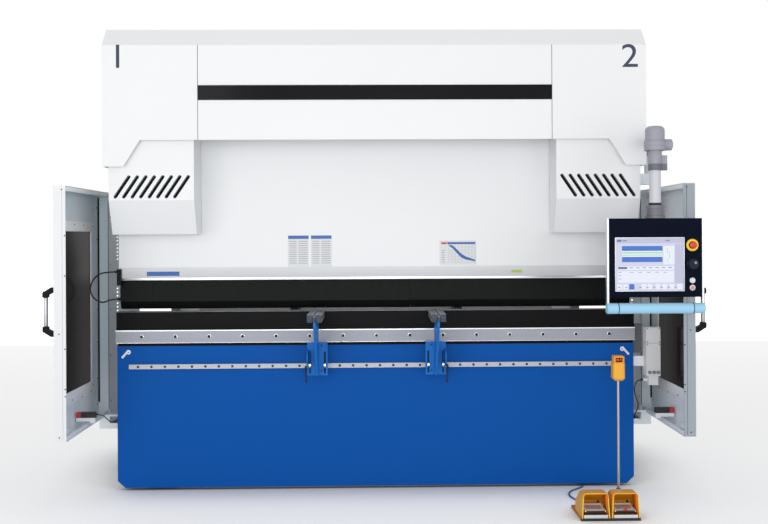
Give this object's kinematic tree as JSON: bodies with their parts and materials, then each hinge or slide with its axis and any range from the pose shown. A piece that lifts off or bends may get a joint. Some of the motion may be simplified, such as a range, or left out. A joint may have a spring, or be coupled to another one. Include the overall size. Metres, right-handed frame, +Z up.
{
  "type": "hydraulic press brake",
  "caption": "Hydraulic press brake with a moving ram, sliding sheet supports, hinged side guards, a swinging operator pendant and a foot pedal.",
  "frame": {"origin": "on the floor, in the middle of the four anchor bolt holes", "axes": "+X to the operator's right along the bed, +Y to the back of the machine, +Z up"},
  "size_m": [3.708, 2.256, 2.717],
  "materials": {
    "white_paint": "semi-gloss powder coat",
    "blue_paint": "satin enamel",
    "frame_paint": "satin enamel",
    "ground_steel": "ground and oiled",
    "tool_steel": "blackened, ground tips",
    "hard_chrome": "polished",
    "extrusion": "anodised",
    "bronze_pane": "tinted polycarbonate",
    "black_gloss": "gloss",
    "black_plastic": "matt moulded",
    "grey_plastic": "matt moulded",
    "light_blue": "anodised tube",
    "stop_red": "moulded",
    "pedal_yellow": "enamel",
    "tread_white": "enamel",
    "blue_sheath": "smooth sheath"
  },
  "bodies": {
    "root": {"frame_left": "frame_paint", "frame_right": "frame_paint", "bed_plate": "blue_paint", "bed_beam": "frame_paint", "crowning_strip": "tool_steel", "die_rail": "ground_steel", "lower_die": "tool_steel", "cylinders": "black_gloss", "top_tie": "frame_paint", "oil_tank": "frame_paint", "pump_motor": "blue_paint", "cover_rail": "frame_paint", "cover_centre": "white_paint", "fascia_band": "black_gloss", "cover_left": "white_paint", "cover_right": "white_paint", "vented_box_left": "white_paint", "vented_box_right": "white_paint", "guard_trays": "white_paint", "side_panel_left": "white_paint", "side_panel_right": "white_paint", "interlock_switches": "black_plastic", "guide_rail": "ground_steel", "end_block": "grey_plastic", "junction_box": "white_paint", "boom_bracket": "white_paint", "pedal_base": "black_plastic", "pedal_hoods": "pedal_yellow", "pedal_pole": "hard_chrome", "stop_box": "pedal_yellow", "backgauge": "blue_paint", "junction_lead": "black_plastic", "interlock_lead": "black_plastic", "pedal_lead": "blue_sheath"},
    "ram": {"ram": "white_paint", "piston_rods": "hard_chrome", "clamp_beam": "ground_steel", "punches": "tool_steel", "ram_terminal": "black_plastic", "ram_lead": "black_plastic"},
    "door_left": {"door_left": "white_paint", "door_window_left": "bronze_pane", "door_handle_left": "black_plastic"},
    "door_right": {"door_right": "white_paint", "door_window_right": "bronze_pane", "door_handle_right": "black_plastic"},
    "carriage_left": {"carriage_left": "tool_steel"},
    "carriage_right": {"carriage_right": "tool_steel"},
    "arm_left": {"support_arm_left": "blue_paint", "support_bar_left": "extrusion"},
    "arm_right": {"support_arm_right": "blue_paint", "support_bar_right": "extrusion"},
    "boom": {"boom": "grey_plastic"},
    "pendant": {"drop_tube": "grey_plastic", "pendant_housing": "black_plastic", "pendant_cheeks": "grey_plastic", "pendant_grip": "light_blue", "pendant_controls": "stop_red"},
    "tread_left": {"tread_left": "tread_white"},
    "tread_right": {"tread_right": "tread_white"}
  },
  "joints": [
    {"name": "ram_stroke", "type": "slide", "parent": "root", "child": "ram", "axis": [0, 0, 1], "range_m": [-0.008, 0.17]},
    {"name": "door_left_hinge", "type": "hinge", "parent": "root", "child": "door_left", "pos_m": [-1.774, -0.364, 1.1], "axis": [0, 0, -1], "range_deg": [0, 110]},
    {"name": "door_right_hinge", "type": "hinge", "parent": "root", "child": "door_right", "pos_m": [1.774, -0.364, 1.1], "axis": [0, 0, 1], "range_deg": [0, 110]},
    {"name": "carriage_left_slide", "type": "slide", "parent": "root", "child": "carriage_left", "axis": [1, 0, 0], "range_m": [-1.05, 0.22]},
    {"name": "carriage_right_slide", "type": "slide", "parent": "root", "child": "carriage_right", "axis": [1, 0, 0], "range_m": [-0.22, 1.05]},
    {"name": "arm_left_height", "type": "slide", "parent": "carriage_left", "child": "arm_left", "axis": [0, 0, 1], "range_m": [-0.03, 0.03]},
    {"name": "arm_right_height", "type": "slide", "parent": "carriage_right", "child": "arm_right", "axis": [0, 0, 1], "range_m": [-0.03, 0.03]},
    {"name": "boom_swing", "type": "hinge", "parent": "root", "child": "boom", "pos_m": [1.74, -0.45, 2.04], "axis": [0, 0, 1], "range_deg": [0, 45]},
    {"name": "pendant_swivel", "type": "hinge", "parent": "boom", "child": "pendant", "pos_m": [1.475, -1.49, 1.7], "axis": [0, 0, 1], "range_deg": [-45, 45]},
    {"name": "tread_left_press", "type": "hinge", "parent": "root", "child": "tread_left", "pos_m": [1.1535, -1.362, 0.05], "axis": [1, 0, 0], "range_deg": [0, 7], "stiffness_Nm_per_rad": 20, "springref_deg": -8.59},
    {"name": "tread_right_press", "type": "hinge", "parent": "root", "child": "tread_right", "pos_m": [1.3125, -1.362, 0.05], "axis": [1, 0, 0], "range_deg": [0, 7], "stiffness_Nm_per_rad": 20, "springref_deg": -8.59}
  ]
}
